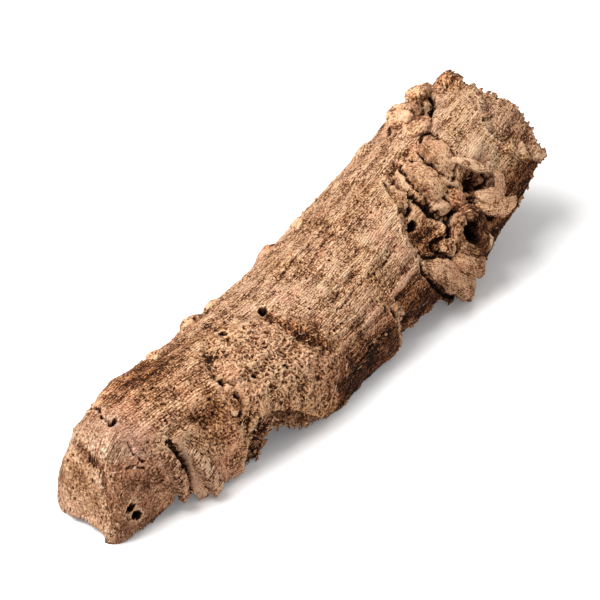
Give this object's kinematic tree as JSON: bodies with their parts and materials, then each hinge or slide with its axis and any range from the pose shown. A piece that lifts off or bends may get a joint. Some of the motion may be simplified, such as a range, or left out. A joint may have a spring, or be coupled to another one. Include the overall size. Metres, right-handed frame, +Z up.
{
  "type": "cork bark slab",
  "caption": "Half-round slab of raw virgin cork bark, hollow underneath, with a rounded closed end, a broken open end, a ring knot, a curled tongue, cracks and insect holes.",
  "frame": {"origin": "Middle of the slab's length and width, on the level that it rests on.", "axes": "+X runs along the slab from the rounded closed end to the broken open end, +Y across it away from the side with the knot and the bite, +Z up through the crown of the arch."},
  "size_m": [0.3842, 0.1048, 0.0845],
  "materials": {
    "cork_bark": "dry and matt, fibrous, reddish tan with darker furrows"
  },
  "bodies": {
    "root": {"cork_bark_slab": "cork_bark"}
  },
  "joints": []
}
